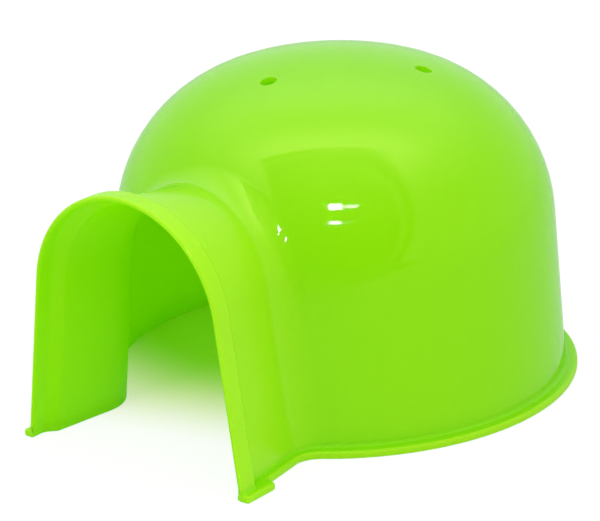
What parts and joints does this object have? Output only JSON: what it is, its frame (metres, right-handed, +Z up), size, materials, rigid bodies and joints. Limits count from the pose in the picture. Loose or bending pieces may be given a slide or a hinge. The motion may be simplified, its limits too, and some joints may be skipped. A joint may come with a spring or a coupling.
{
  "type": "rodent igloo",
  "caption": "Dome-shaped shelter of thin glossy plastic for a small rodent, open underneath, with an arched entrance tunnel, a base flange and vent holes in the crown.",
  "frame": {"origin": "on the floor, in the middle of the footprint's bounding box; the dome's axis stands 12 mm behind it", "axes": "+Z up, the entrance faces -Y, +X to the right for someone who looks in at the entrance"},
  "size_m": [0.15, 0.174, 0.102],
  "materials": {
    "lime_plastic": "glossy lime green, thin and slightly translucent"
  },
  "bodies": {
    "root": {"crown_cap": "lime_plastic", "dome_body": "lime_plastic", "tunnel_roof": "lime_plastic", "left_tunnel_wall": "lime_plastic", "right_tunnel_wall": "lime_plastic", "entrance_collar": "lime_plastic", "left_foot": "lime_plastic", "right_foot": "lime_plastic"}
  },
  "joints": []
}
